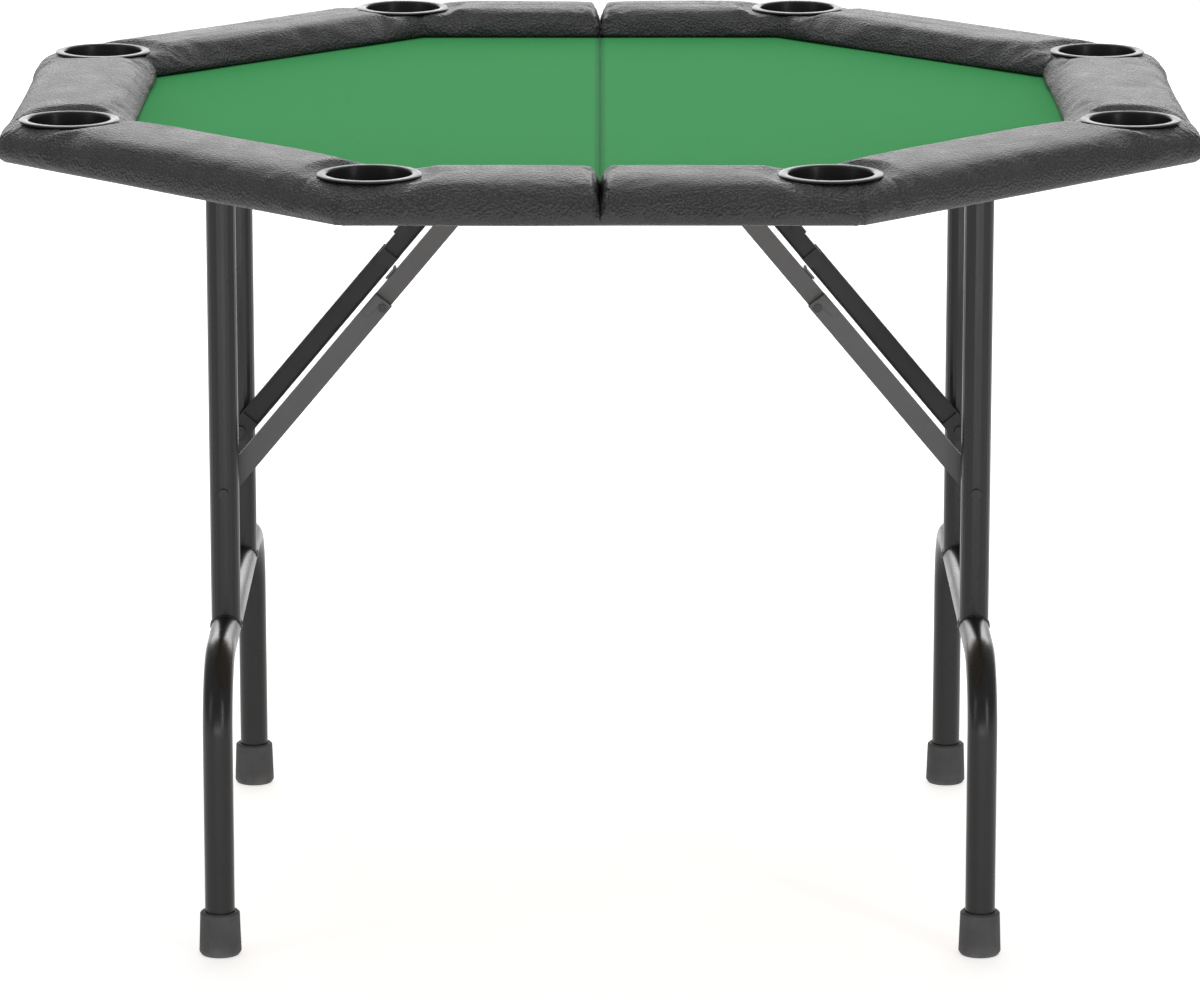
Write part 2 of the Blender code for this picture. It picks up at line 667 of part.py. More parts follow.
def leg_unit(side):
    name = SIDE_NAMES[side]
    fold = pivot(f"{name}_leg_fold", (side * LEG_X, 0, PIVOT_Z))
    leg_frame(side, fold)
    pivot_tube(side, fold)
    foot_point, top_point, _, _ = brace_geometry(side)
    lower_turn = pivot(f"{name}_lower_link_turn", foot_point)
    upper_turn = pivot(f"{name}_upper_link_turn", top_point)
    release_turn = pivot(f"{name}_release_turn", release_place(side)[0])
    for end in END_NAMES:
        upright(side, end, fold)
        foot(side, end, fold)
        leg_bracket(side, end)
        lower_link(side, end, lower_turn)
        upper_link(side, end, upper_turn)
        knee_rivet(side, end, lower_turn)
        brace_bolt(side, end, fold)
        brace_bracket(side, end)
        brace_release(side, end, release_turn)


def build_table():
    table_fold = pivot("table_fold", (0, 0, HINGE_AXIS_Z))
    for side in SIDE_NAMES:
        top_half(side)
        leg_unit(side)
    for end in END_NAMES:
        for side in SIDE_NAMES:
            hinge_leaf(side, end, table_fold)
        hinge_pin(end)


build_table()
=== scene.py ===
import math

import bmesh
import bpy
import numpy as np
from mathutils import Matrix, Vector, noise


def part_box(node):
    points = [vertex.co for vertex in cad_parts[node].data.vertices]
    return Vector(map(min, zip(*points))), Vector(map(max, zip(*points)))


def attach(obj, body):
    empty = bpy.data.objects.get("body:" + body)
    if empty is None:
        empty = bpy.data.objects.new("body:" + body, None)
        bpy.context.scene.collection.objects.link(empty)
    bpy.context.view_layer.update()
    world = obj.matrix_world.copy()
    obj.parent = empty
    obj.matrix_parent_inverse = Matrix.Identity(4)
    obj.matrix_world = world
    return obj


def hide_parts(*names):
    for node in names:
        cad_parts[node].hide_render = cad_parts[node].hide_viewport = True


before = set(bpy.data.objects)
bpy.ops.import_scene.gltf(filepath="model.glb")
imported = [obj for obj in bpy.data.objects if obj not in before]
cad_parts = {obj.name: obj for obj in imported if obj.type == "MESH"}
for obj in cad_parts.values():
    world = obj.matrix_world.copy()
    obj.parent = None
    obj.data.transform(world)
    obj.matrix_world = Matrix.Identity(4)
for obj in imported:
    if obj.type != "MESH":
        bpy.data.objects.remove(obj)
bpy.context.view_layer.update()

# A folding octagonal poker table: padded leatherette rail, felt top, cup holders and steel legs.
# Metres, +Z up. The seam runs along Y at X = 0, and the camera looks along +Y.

SIDES = {"left": -1, "right": 1}
ENDS = {"front": -1, "rear": 1}
EIGHTH = math.radians(22.5)
TAN_EIGHTH = math.tan(EIGHTH)

# ---- places taken from the CAD frame ----
BOARD_LOW, BOARD_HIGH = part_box("right_board")
CUP_LOW, CUP_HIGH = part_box("right_cup_1")
RAIL_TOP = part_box("right_rail")[1].z
FELT_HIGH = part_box("right_felt")[1]
BOARD_EDGE = BOARD_HIGH.x
FELT_EDGE = FELT_HIGH.x
FLANGE_RADIUS = (CUP_HIGH.x - CUP_LOW.x) / 2
GAP = 0.0003

# ---- rail ----
# Its two ends at the seam.
RAIL_END_GAP = 0.00002
END_PLANE = RAIL_END_GAP * 0.6
END_ROUNDING = 0.007
END_RECESS, END_RECESS_REACH = 0.0050, 0.014
# Its corners, which are sharper on the felt's side.
CORNER_RADIUS_INNER, CORNER_RADIUS_OUTER = 0.012, 0.025
CORNER_CHANGE_START, CORNER_CHANGE_END = 0.43, 0.535
# The spacing of its mesh's columns, measured this far from the table's middle.
RAIL_REF = 0.49
FINE_STEP, COARSE_STEP = 0.0027, 0.0052
FINE_AT_SEAM, FINE_AT_CORNER, FIRST_COLUMN = 0.03, 0.05, 0.0006
# Its holes for the cups, and where their flanges press it down.
CUP_HOLE_RADIUS = 0.0384
PRESS_RADIUS, PRESS_FADE = 0.0462, 0.017
PRESS_TOP = RAIL_TOP - 0.0002
PRESS_ABOVE = 0.735
# How its padding is blown up, and the most that a point may move.
CLOTH_FRAMES = 14
PRESSURE = 1.3
HELD_AT_SEAM = 0.0035
MOST_PUFF = 0.0024
# The depths of its creases, folds and waves.
MITRE_OUTSIDE, MITRE_LIP, MITRE_INSIDE = 0.0011, 0.0004, 0.0009
FAN_FOLDS, SEAM_PUCKERS = 0.00055, 0.0010
LONG_FOLDS, REAR_FOLDS, WIDE_WAVES = 0.00022, 0.00055, 0.0005

# The section as (distance from the table's middle, height): the skin first, and then the hidden part.
SKIN = [
    (0.4222, 0.7271),
    (0.4209, 0.7295),
    (0.4226, 0.7340),
    (0.4262, 0.7393),
    (0.4318, 0.7444),
    (0.4400, 0.7486),
    (0.4510, 0.7505),
    (0.4660, 0.7508),
    (0.4820, 0.7505),
    (0.4970, 0.7498),
    (0.5110, 0.7483),
    (0.5220, 0.7456),
    (0.5308, 0.7412),
    (0.5364, 0.7350),
    (0.5392, 0.7288),
    (0.5397, 0.7228),
    (0.5383, 0.7190),
    (0.5358, 0.7180),
    (0.5352, 0.7160),
    (0.5325, 0.7144),
    (0.5250, 0.7142),
    (0.5060, 0.7142),
]
HIDDEN = [
    (0.5060, 0.7151),
    (0.5240, 0.7152),
    (0.5304, 0.7152),
    (0.5304, 0.7249),
    (0.5000, 0.7249),
    (0.4700, 0.7249),
    (0.4450, 0.7249),
    (0.4278, 0.7249),
    (0.4272, 0.7271),
]
SKIN_STEP = 0.0042
# The skin is held where it is lower than this, first on the outside and then along the felt.
BOTTOM_PIN_Z = 0.7186
TUCKED_Z = 0.7271
# How far the felt runs on under the rail.
FELT_TUCK = 0.0040
HOLE_STEPS = 48


# ---- materials ----
def new_material(name, **sockets):
    made = bpy.data.materials.new(name)
    made.use_nodes = True
    tree = made.node_tree
    shader = tree.nodes["Principled BSDF"]
    for socket, value in sockets.items():
        shader.inputs[socket.replace("_", " ")].default_value = value
    return made, tree, shader


def add(tree, kind, inputs=None, **settings):
    """A node with its settings, and its inputs by name or number: another node's output, or a value."""
    made = tree.nodes.new(kind)
    for key, value in settings.items():
        setattr(made, key, value)
    for key, value in (inputs or {}).items():
        if isinstance(value, bpy.types.NodeSocket):
            tree.links.new(value, made.inputs[key])
        else:
            made.inputs[key].default_value = value
    return made


def place(tree):
    return add(tree, "ShaderNodeTexCoord").outputs["Object"]


def cloud(tree, where, scale, detail=3.0, roughness=0.55):
    inputs = {"Vector": where, "Scale": scale, "Detail": detail, "Roughness": roughness}
    return add(tree, "ShaderNodeTexNoise", inputs).outputs["Fac"]


def cells(tree, where, scale):
    return add(tree, "ShaderNodeTexVoronoi", {"Vector": where, "Scale": scale}).outputs["Distance"]


def stretched(tree, where, scales):
    return add(tree, "ShaderNodeMapping", {"Vector": where, "Scale": scales}).outputs[0]


def along_axis(tree, vector, axis):
    return add(tree, "ShaderNodeSeparateXYZ", {"Vector": vector}).outputs[axis]


def spread(tree, value, low, high, start=0.0, end=1.0):
    """A value that goes from start to end as the input goes from low to high."""
    inputs = {"Value": value, "From Min": low, "From Max": high, "To Min": start, "To Max": end}
    return add(tree, "ShaderNodeMapRange", inputs).outputs["Result"]


def blended(tree, factor, one, other):
    made = add(tree, "ShaderNodeMix", {"Factor": factor}, data_type="RGBA")
    for socket, value in (("A_Color", one), ("B_Color", other)):
        target = next(s for s in made.inputs if s.identifier == socket)
        if isinstance(value, bpy.types.NodeSocket):
            tree.links.new(value, target)
        else:
            target.default_value = (*value, 1.0)
    return next(s for s in made.outputs if s.identifier == "Result_Color")


def combined(tree, one, other, operation="MULTIPLY"):
    return add(tree, "ShaderNodeMath", {0: one, 1: other}, operation=operation).outputs[0]


def relief(tree, shader, layers):
    """Bumps one over another, each as (height, strength, depth in metres)."""
    normal = None
    for height, strength, depth in layers:
        inputs = {"Height": height, "Strength": strength, "Distance": depth}
        if normal is not None:
            inputs["Normal"] = normal
        normal = add(tree, "ShaderNodeBump", inputs).outputs["Normal"]
    tree.links.new(normal, shader.inputs["Normal"])


def drive(tree, shader, socket, value):
    tree.links.new(value, shader.inputs[socket])


def leatherette_material():
    """Black grained leatherette: soft wrinkles, pebbles and pores, a little worn on the pebbles."""
    made, tree, shader = new_material("leatherette_grain", Specular_IOR_Level=0.5)
    where = place(tree)
    mottle = cloud(tree, where, 38.0, 4.0)
    pebble = cells(tree, where, 400.0)
    pores = cloud(tree, where, 1100.0, 2.0)
    shade = blended(tree, spread(tree, mottle, 0.35, 0.7), (0.014, 0.014, 0.0145), (0.024, 0.024, 0.025))
    worn = combined(tree, spread(tree, pebble, 0.35, 0.0), 0.35)
    drive(tree, shader, "Base Color", blended(tree, worn, shade, (0.045, 0.045, 0.046)))
    dull = spread(tree, mottle, 0.3, 0.75, 0.36, 0.46)
    dull_pores = spread(tree, pores, 0.3, 0.7, -0.05, 0.07)
    drive(tree, shader, "Roughness", combined(tree, dull, dull_pores, "ADD"))
    wrinkle = cloud(tree, where, 95.0, 5.0, 0.6)
    relief(tree, shader, [(wrinkle, 0.25, 0.0010), (pebble, 1.0, 0.0015), (pores, 0.7, 0.0004)])
    return made


def distance_from_seam(tree, where):
    """Metres from the seam, along X."""
    x = along_axis(tree, where, "X")
    return add(tree, "ShaderNodeMath", {0: x}, operation="ABSOLUTE").outputs[0]


def felt_material():
    """Green felt with crossed lint, with painted shade: darker where it is turned down into the seam."""
    made, tree, shader = new_material(
        "green_felt_fibres",
        Specular_IOR_Level=0.12,
        Roughness=1.0,
        Sheen_Weight=0.25,
        Sheen_Roughness=0.55,
        Sheen_Tint=(0.30, 0.80, 0.42, 1.0),
    )
    where = place(tree)
    patches = cloud(tree, where, 7.0, 3.0)
    fuzz = cloud(tree, where, 900.0, 4.0, 0.7)
    fibres = cloud(tree, stretched(tree, where, (260.0, 1100.0, 600.0)), 1.0, 3.0)
    crossed = cloud(tree, stretched(tree, where, (1100.0, 260.0, 600.0)), 1.0, 3.0)
    lint = combined(tree, fibres, crossed, "ADD")
    green = blended(tree, spread(tree, patches, 0.3, 0.7), (0.026, 0.268, 0.066), (0.029, 0.284, 0.071))
    speckle = spread(tree, combined(tree, lint, fuzz, "ADD"), 1.15, 1.85)
    green = blended(tree, speckle, green, (0.042, 0.330, 0.092))
    # Painted shade: the felt is coloured darker within a few millimetres of the seam, for the shade in the
    # crease.
    seam_shade = spread(tree, distance_from_seam(tree, where), 0.0062, 0.0030, 0.0, 0.62)
    drive(tree, shader, "Base Color", blended(tree, seam_shade, green, (0.024, 0.150, 0.048)))
    relief(tree, shader, [(lint, 0.5, 0.0004), (fuzz, 0.4, 0.0003)])
    return made


def board_material():
    """Raw fibreboard, with painted shade on its sawn edge at the seam: black, for the dark gap between the
    halves.
    """
    made, tree, shader = new_material("fibreboard", Specular_IOR_Level=0.3)
    where = place(tree)
    fibre = cloud(tree, where, 420.0, 5.0, 0.7)
    stain = cloud(tree, where, 9.0, 4.0)
    flecks = cells(tree, where, 900.0)
    base = blended(tree, spread(tree, stain, 0.3, 0.7), (0.33, 0.225, 0.135), (0.42, 0.30, 0.185))
    base = blended(tree, spread(tree, fibre, 0.35, 0.75, 0.0, 0.6), base, (0.50, 0.37, 0.24))
    base = blended(tree, spread(tree, flecks, 0.16, 0.0, 0.0, 0.7), base, (0.17, 0.11, 0.065))
    # Painted shade: the board is coloured black within a few millimetres of the seam, where the gap is in
    # shade.
    seam_gap_shade = spread(tree, distance_from_seam(tree, where), 0.0060, 0.0045)
    drive(tree, shader, "Base Color", blended(tree, seam_gap_shade, base, (0.018, 0.018, 0.019)))
    drive(tree, shader, "Roughness", spread(tree, fibre, 0.2, 0.8, 0.68, 0.86))
    relief(tree, shader, [(fibre, 0.4, 0.0003)])
    return made


def powder_coat_material(name, base, rough, inside=None):
    """Painted steel. The faces that look towards the table's middle, along Y, may get painted shade:
    another, darker colour for the shadow they are in.
    """
    made, tree, shader = new_material(name, Specular_IOR_Level=0.36)
    where = place(tree)
    peel = cloud(tree, where, 520.0, 2.0, 0.4)
    patch = cloud(tree, where, 16.0, 4.0)
    rub = cloud(tree, where, 75.0, 6.0, 0.75)
    lighter = tuple(c * 1.35 for c in base)
    shade = blended(tree, spread(tree, patch, 0.3, 0.7), base, lighter)
    worn = spread(tree, rub, 0.66, 0.74, 0.0, 0.35)
    shade = blended(tree, worn, shade, (0.040, 0.040, 0.042))
    # Painted shade: faces that look towards the table's middle take the darker inside colour.
    if inside:
        normal = add(tree, "ShaderNodeTexCoord").outputs["Normal"]
        faces_out_unshaded = combined(tree, along_axis(tree, where, "Y"), along_axis(tree, normal, "Y"))
        shade = blended(tree, spread(tree, faces_out_unshaded, -0.02, 0.02), inside, shade)
    drive(tree, shader, "Base Color", shade)
    dull = spread(tree, patch, 0.3, 0.7, *rough)
    drive(tree, shader, "Roughness", combined(tree, dull, combined(tree, worn, 0.3), "ADD"))
    relief(tree, shader, [(peel, 0.22, 0.00018)])
    return made


def zinc_material(name, tint, dull):
    """Zinc plate, cloudy and faintly brushed."""
    made, tree, shader = new_material(name, Metallic=1.0)
    where = place(tree)
    spangle = cells(tree, where, 260.0)
    cloudy = cloud(tree, where, 60.0, 4.0)
    lines = cloud(tree, stretched(tree, where, (90.0, 2600.0, 2600.0)), 1.0, 3.0)
    drive(tree, shader, "Base Color", blended(tree, spread(tree, cloudy, 0.3, 0.7), tint, dull))
    rough = spread(tree, spangle, 0.0, 0.6, 0.24, 0.40)
    brushed = spread(tree, lines, 0.3, 0.7, 0.0, 0.10)
    drive(tree, shader, "Roughness", combined(tree, rough, brushed, "ADD"))
    relief(tree, shader, [(lines, 0.15, 0.00005), (cloudy, 0.2, 0.0001)])
    return made


def cup_material():
    """Moulded black plastic with a fine texture and light scratches."""
    made, tree, shader = new_material("moulded_black_plastic", Specular_IOR_Level=0.32)
    where = place(tree)
    texture = cloud(tree, where, 1400.0, 2.0)
    swirl = cloud(tree, where, 45.0, 3.0)
    black = blended(tree, spread(tree, swirl, 0.3, 0.7), (0.012, 0.012, 0.013), (0.018, 0.018, 0.019))
    drive(tree, shader, "Base Color", black)
    marks = cloud(tree, stretched(tree, where, (1800.0, 60.0, 400.0)), 1.0, 4.0)
    dull = spread(tree, swirl, 0.3, 0.7, 0.27, 0.36)
    scratched = spread(tree, marks, 0.55, 0.75, 0.0, 0.12)
    drive(tree, shader, "Roughness", combined(tree, dull, scratched, "ADD"))
    relief(tree, shader, [(texture, 0.10, 0.00008)])
    return made


def rubber_material():
    """Dark grey rubber, dusty near the floor."""
    made, tree, shader = new_material("grey_rubber_foot", Specular_IOR_Level=0.35)
    where = place(tree)
    grit = cloud(tree, where, 700.0, 4.0, 0.7)
    bloom = cloud(tree, where, 55.0, 4.0)
    near_floor = spread(tree, along_axis(tree, where, "Z"), 0.012, 0.0)
    dust = combined(tree, near_floor, spread(tree, bloom, 0.35, 0.65, 0.25, 0.9))
    shade = blended(tree, spread(tree, bloom, 0.3, 0.7), (0.046, 0.046, 0.048), (0.060, 0.060, 0.062))
    drive(tree, shader, "Base Color", blended(tree, combined(tree, dust, 0.5), shade, (0.17, 0.16, 0.15)))
    drive(tree, shader, "Roughness", spread(tree, grit, 0.3, 0.7, 0.58, 0.78))
    relief(tree, shader, [(grit, 0.35, 0.00025)])
    return made


LEATHERETTE = leatherette_material()
FELT = felt_material()
FIBREBOARD = board_material()
POWDER_COAT = powder_coat_material("powder_coat_satin", (0.0075, 0.0077, 0.0080), (0.24, 0.34))
# The brace coat's inside colour is painted shade for the faces in the table's shadow.
BRACE_COAT = powder_coat_material(
    "brace_coat_satin", (0.060, 0.060, 0.062), (0.36, 0.48), inside=(0.007, 0.007, 0.0075)
)
ZINC = zinc_material("zinc_plate", (0.62, 0.62, 0.61), (0.48, 0.48, 0.47))
DARK_ZINC = zinc_material("dark_zinc_fastener", (0.16, 0.16, 0.165), (0.10, 0.10, 0.105))
CUP_PLASTIC = cup_material()
RUBBER = rubber_material()


# ---- meshes ----
def make_object(name, points, faces, finish):
    mesh = bpy.data.meshes.new(name)
    mesh.from_pydata([tuple(p) for p in points], [], faces)
    mesh.validate()
    mesh.materials.append(finish)
    obj = bpy.data.objects.new(name, mesh)
    bpy.context.scene.collection.objects.link(obj)
    mesh.shade_smooth()
    return obj


def from_bmesh(name, bm, finish):
    mesh = bpy.data.meshes.new(name)
    bmesh.ops.recalc_face_normals(bm, faces=bm.faces)
    bm.to_mesh(mesh)
    bm.free()
    mesh.materials.append(finish)
    obj = bpy.data.objects.new(name, mesh)
    bpy.context.scene.collection.objects.link(obj)
    mesh.shade_smooth()
    keep_sharp(obj, 35)
    return obj


def keep_sharp(obj, degrees):
    obj.data.set_sharp_from_angle(angle=math.radians(degrees))


def face_outwards(obj):
    bm = bmesh.new()
    bm.from_mesh(obj.data)
    bmesh.ops.recalc_face_normals(bm, faces=bm.faces)
    bm.to_mesh(obj.data)
    bm.free()


def apply_modifiers(obj):
    depsgraph = bpy.context.evaluated_depsgraph_get()
    mesh = bpy.data.meshes.new_from_object(obj.evaluated_get(depsgraph))
    old = obj.data
    obj.modifiers.clear()
    obj.data = mesh
    bpy.data.meshes.remove(old)


def coordinates(mesh):
    co = np.empty(len(mesh.vertices) * 3)
    mesh.vertices.foreach_get("co", co)
    return co.reshape(-1, 3)


def set_coordinates(mesh, co):
    mesh.vertices.foreach_set("co", co.ravel())
    mesh.update()


def ease(t):
    t = np.clip(t, 0.0, 1.0)
    return t * t * (3 - 2 * t)


def lathe(points, faces, profile, centre, steps):
    """Adds a closed solid of revolution. The profile of (radius, height) starts and ends on the axis."""
    start = len(points)
    rings = profile[1:-1]
    for radius, height in rings:
        for k in range(steps):
            turn = 2 * math.pi * k / steps
            points.append((centre[0] + radius * math.cos(turn), centre[1] + radius * math.sin(turn), height))
    points.append((centre[0], centre[1], profile[0][1]))
    points.append((centre[0], centre[1], profile[-1][1]))
    first, last = len(points) - 2, len(points) - 1
    for k in range(steps):
        after = (k + 1) % steps
        faces.append((first, start + k, start + after))
        for ring in range(len(rings) - 1):
            a, b = start + ring * steps, start + (ring + 1) * steps
            faces.append((a + k, b + k, b + after, a + after))
        tail = start + (len(rings) - 1) * steps
        faces.append((last, tail + after, tail + k))


def middle_of(node):
    low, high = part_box(node)
    return (low + high) / 2


# ---- padded rail ----
def resample(points, step):
    """Points at an even step along a smooth curve through the given ones."""
    points = [Vector((p[0], p[1], 0)) for p in points]
    dense = []
    for i in range(len(points) - 1):
        before, after = points[max(i - 1, 0)], points[min(i + 2, len(points) - 1)]
        a, b = points[i], points[i + 1]
        for k in range(12):
            t = k / 12
            m0, m1 = (b - before) / 2, (after - a) / 2
            h = (2 * t**3 - 3 * t**2 + 1, t**3 - 2 * t**2 + t, -2 * t**3 + 3 * t**2, t**3 - t**2)
            dense.append(a * h[0] + m0 * h[1] + b * h[2] + m1 * h[3])
    dense.append(points[-1])
    lengths = [0.0]
    for a, b in zip(dense, dense[1:]):
        lengths.append(lengths[-1] + (b - a).length)
    count = round(lengths[-1] / step)
    xs = np.interp(np.linspace(0, lengths[-1], count + 1), lengths, [p.x for p in dense])
    zs = np.interp(np.linspace(0, lengths[-1], count + 1), lengths, [p.y for p in dense])
    return np.column_stack([xs, zs])


def section_points():
    """The rail's closed section, which of its points are skin, and their outward normals."""
    skin = resample(SKIN, SKIN_STEP)
    loop = np.vstack([skin, np.array(HIDDEN)])
    along = np.roll(loop, -1, 0) - np.roll(loop, 1, 0)
    normal = np.column_stack([-along[:, 1], along[:, 0]])
    normal /= np.linalg.norm(normal, axis=1)[:, None]
    return loop, np.arange(len(loop)) < len(skin), normal


def side_steps(start_fine, length):
    """Places along half a side, from 0 to its length at a corner, closer together near the ends."""
    places, at = ([0.0, FIRST_COLUMN], FIRST_COLUMN) if start_fine else ([0.0], 0.0)
    while at < length - 1e-6:
        near = (start_fine and at < FINE_AT_SEAM) or length - at < FINE_AT_CORNER
        at += FINE_STEP if near else COARSE_STEP
        places.append(at)
    return [p * length / places[-1] for p in places]


def rail_columns():
    """Column places in sides from the front seam (0) to the rear seam (4), with corners at halves."""
    half = RAIL_REF * TAN_EIGHTH
    quarter = [p / (2 * half) for p in side_steps(True, half)]
    middle = [p / (2 * half) for p in side_steps(False, half)]
    columns = list(quarter)
    for side in (1, 2, 3):
        columns += [side - p for p in reversed(middle)][1:]
        columns += [side + p for p in middle][1:]
    columns += [4 - p for p in reversed(quarter)][1:]
    return np.array(columns)


def corner_radius(u):
    share = ease((u - CORNER_CHANGE_START) / (CORNER_CHANGE_END - CORNER_CHANGE_START))
    return CORNER_RADIUS_INNER + (CORNER_RADIUS_OUTER - CORNER_RADIUS_INNER) * share


def rail_point(q, u, z):
    """A place on the right half's rail: q along the path, u from the table's middle, z up."""
    side = math.floor(q + 0.5) if q < 4 else 4
    fraction = 2 * (q - side)
    turn = math.atan(fraction * TAN_EIGHTH)
    reach = u / math.cos(turn)
    radius = corner_radius(u)
    tangent = abs(u * math.tan(turn))
    if tangent > u * TAN_EIGHTH - radius * TAN_EIGHTH:
        apart = EIGHTH - abs(turn)
        centre = (u - radius) / math.cos(EIGHTH)
        reach = centre * math.cos(apart) + math.sqrt(max(radius**2 - (centre * math.sin(apart)) ** 2, 0))
    angle = math.radians(-90 + 45 * side) + turn
    x, y = reach * math.cos(angle), reach * math.sin(angle)
    if side in (0, 4):
        x += RAIL_END_GAP * (1 - abs(fraction))
    return x, y, z


def end_recess(u, z):
    """How far the rail's end stands back from the seam, which is more at the top and outside."""
    outside = float(ease((u - 0.468) / 0.030))
    start = 0.7330 + (0.7275 - 0.7330) * outside
    return END_RECESS * ease((z - start) / 0.0180)


def cup_places(name):
    return [middle_of(f"{name}_cup_{k}") for k in range(1, 5)]


def rail_mesh(name):
    """The rail's closed body of one half, before its padding is blown up."""
    side = SIDES[name]
    section, is_skin, normal = section_points()
    columns = rail_columns()
    half = RAIL_REF * TAN_EIGHTH
    points, rows = [], len(section)
    for q in columns:
        from_end = min(q, 4 - q) * 2 * half
        shrink = 0.0
        if from_end < END_ROUNDING:
            shrink = END_ROUNDING - math.sqrt(END_ROUNDING**2 - (END_ROUNDING - from_end) ** 2)
        for (u, z), skin, (nu, nz) in zip(section, is_skin, normal):
            if skin and shrink:
                weight = float(ease((z - 0.7195) / 0.010)) if u > 0.5 else 1.0
                u, z = u - nu * shrink * weight, z - nz * shrink * weight
                z = max(z, TUCKED_Z) if u < 0.529 and z > 0.72 else z
                u = max(u, BOARD_EDGE + 0.0012) if u > 0.529 and z < TUCKED_Z + 0.001 else u
            recess = float(end_recess(u, z)) * math.exp(-from_end / END_RECESS_REACH) if skin else 0.0
            x, y, z = rail_point(q, u, z)
            x += recess
            points.append((x * side, y, z))
    faces = []
    for j in range(len(columns) - 1):
        for i in range(rows):
            after = (i + 1) % rows
            a, b = j * rows, (j + 1) * rows
            faces.append((a + i, a + after, b + after, b + i))
    last = (len(columns) - 1) * rows
    faces.append(tuple(range(rows))[::-1])
    faces.append(tuple(range(last, last + rows)))
    if side < 0:
        faces = [f[::-1] for f in faces]
    obj = make_object(f"{name}_rail_pad", points, faces, LEATHERETTE)
    bm = bmesh.new()
    bm.from_mesh(obj.data)
    ends = [f for f in bm.faces if len(f.verts) > 4]
    sharp = bm.edges.layers.float.new("crease_edge")
    for edge in {e for f in ends for e in f.edges}:
        edge[sharp] = 1.0
    bmesh.ops.triangulate(bm, faces=ends, quad_method="BEAUTY", ngon_method="BEAUTY")
    bmesh.ops.recalc_face_normals(bm, faces=bm.faces)
    bm.to_mesh(obj.data)
    bm.free()
    skin_points = np.zeros(len(points), bool)
    skin_points[: len(columns) * rows] = np.tile(is_skin, len(columns))
    return obj, skin_points


def nearest_cup(co, cups):
    """Distance in plan from each point to the nearest cup's middle."""
    return np.min([np.hypot(co[:, 0] - c.x, co[:, 1] - c.y) for c in cups], axis=0)


def press_under_cups(co, cups):
    """Lowers the pad where a cup's flange holds it down, with a soft slope round it."""
    away = nearest_cup(co, cups)
    share = 1 - ease((away - PRESS_RADIUS) / PRESS_FADE)
    top = co[:, 2] > PRESS_ABOVE
    co[top, 2] = (co[:, 2] - share * np.maximum(co[:, 2] - PRESS_TOP, 0))[top]
    under = top & (away < PRESS_RADIUS)
    co[under, 2] = np.minimum(co[under, 2], PRESS_TOP)


def blow_up(pads):
    """Fills the padding with Blender's cloth: pressure in a skin held at its edges and under the cups."""
    starts = {}
    for obj, held in pads:
        starts[obj.name] = coordinates(obj.data)
        group = obj.vertex_groups.new(name="held")
        group.add([int(i) for i in np.flatnonzero(held)], 1.0, "REPLACE")
        cloth = obj.modifiers.new("padding", "CLOTH")
        settings = cloth.settings
        settings.quality = 5
        settings.mass = 0.25
        settings.tension_stiffness = 18
        settings.compression_stiffness = 18
        settings.shear_stiffness = 8
        settings.bending_stiffness = 0.35
        settings.use_pressure = True
        settings.uniform_pressure_force = PRESSURE
        settings.shrink_min = -0.012
        settings.vertex_group_mass = "held"
        settings.effector_weights.gravity = 0.0
        cloth.collision_settings.use_collision = False
        cloth.point_cache.frame_start = 1
        cloth.point_cache.frame_end = CLOTH_FRAMES
    scene = bpy.context.scene
    for step in range(1, CLOTH_FRAMES + 1):
        scene.frame_set(step)
    depsgraph = bpy.context.evaluated_depsgraph_get()
    shapes = {obj.name: coordinates(obj.evaluated_get(depsgraph).data) for obj, _ in pads}
    for obj, _ in pads:
        obj.modifiers.clear()
        obj.vertex_groups.clear()
        start = starts[obj.name]
        moved = shapes[obj.name] - start
        far = np.linalg.norm(moved, axis=1)
        soft = MOST_PUFF * np.tanh(far / MOST_PUFF)
        set_coordinates(obj.data, start + moved * (soft / np.maximum(far, 1e-9))[:, None])
    scene.frame_set(1)


def path_place(co, side):
    """For each point: its place along the path in sides, and its distance from the table's middle line."""
    angle = np.degrees(np.arctan2(co[:, 1], co[:, 0] * side)) + 90
    nearest = np.clip(np.round(angle / 45), 0, 4)
    turn = np.radians(angle - 45 * nearest)
    radius = np.hypot(co[:, 0], co[:, 1])
    apothem = radius * np.cos(turn)
    return nearest + np.tan(turn) / TAN_EIGHTH / 2, apothem


def ripple(values, seed):
    """Smooth noise of one value at each point, between about -1 and 1."""
    return np.array([noise.noise((v[0], v[1], v[2] + seed)) for v in values])


def hump(distance, width):
    """1 at no distance, falling smoothly to about 0 past two widths."""
    return np.exp(-((distance / width) ** 2))


